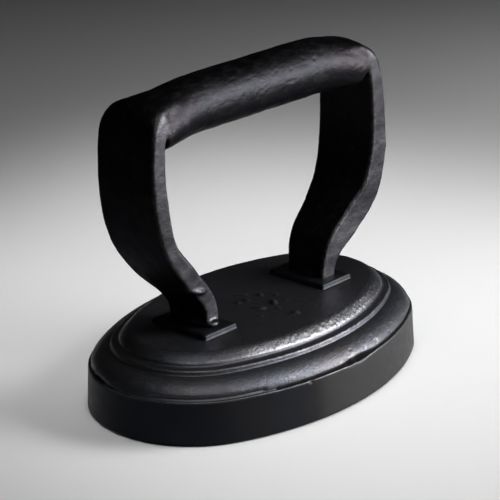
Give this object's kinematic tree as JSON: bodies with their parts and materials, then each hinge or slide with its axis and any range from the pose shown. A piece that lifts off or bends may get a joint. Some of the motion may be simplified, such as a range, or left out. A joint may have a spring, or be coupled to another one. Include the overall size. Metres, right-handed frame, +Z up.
{
  "type": "clothes iron",
  "caption": "Oval flat iron: a heavy cast base with stepped mouldings and a forged loop handle whose top is rolled into a round grip.",
  "frame": {"origin": "middle of the sole, on the surface that the iron stands on", "axes": "+X along the length of the iron, +Y across it, +Z up through the handle"},
  "size_m": [0.13, 0.0872, 0.1086],
  "materials": {
    "cast_base": "blackened casting with a ground side wall and sole, satin, worn lighter on the mouldings",
    "forged_handle": "blackened wrought iron with a hammered, fire-scaled surface"
  },
  "bodies": {
    "root": {"base_casting": "cast_base", "handle": "forged_handle"}
  },
  "joints": []
}
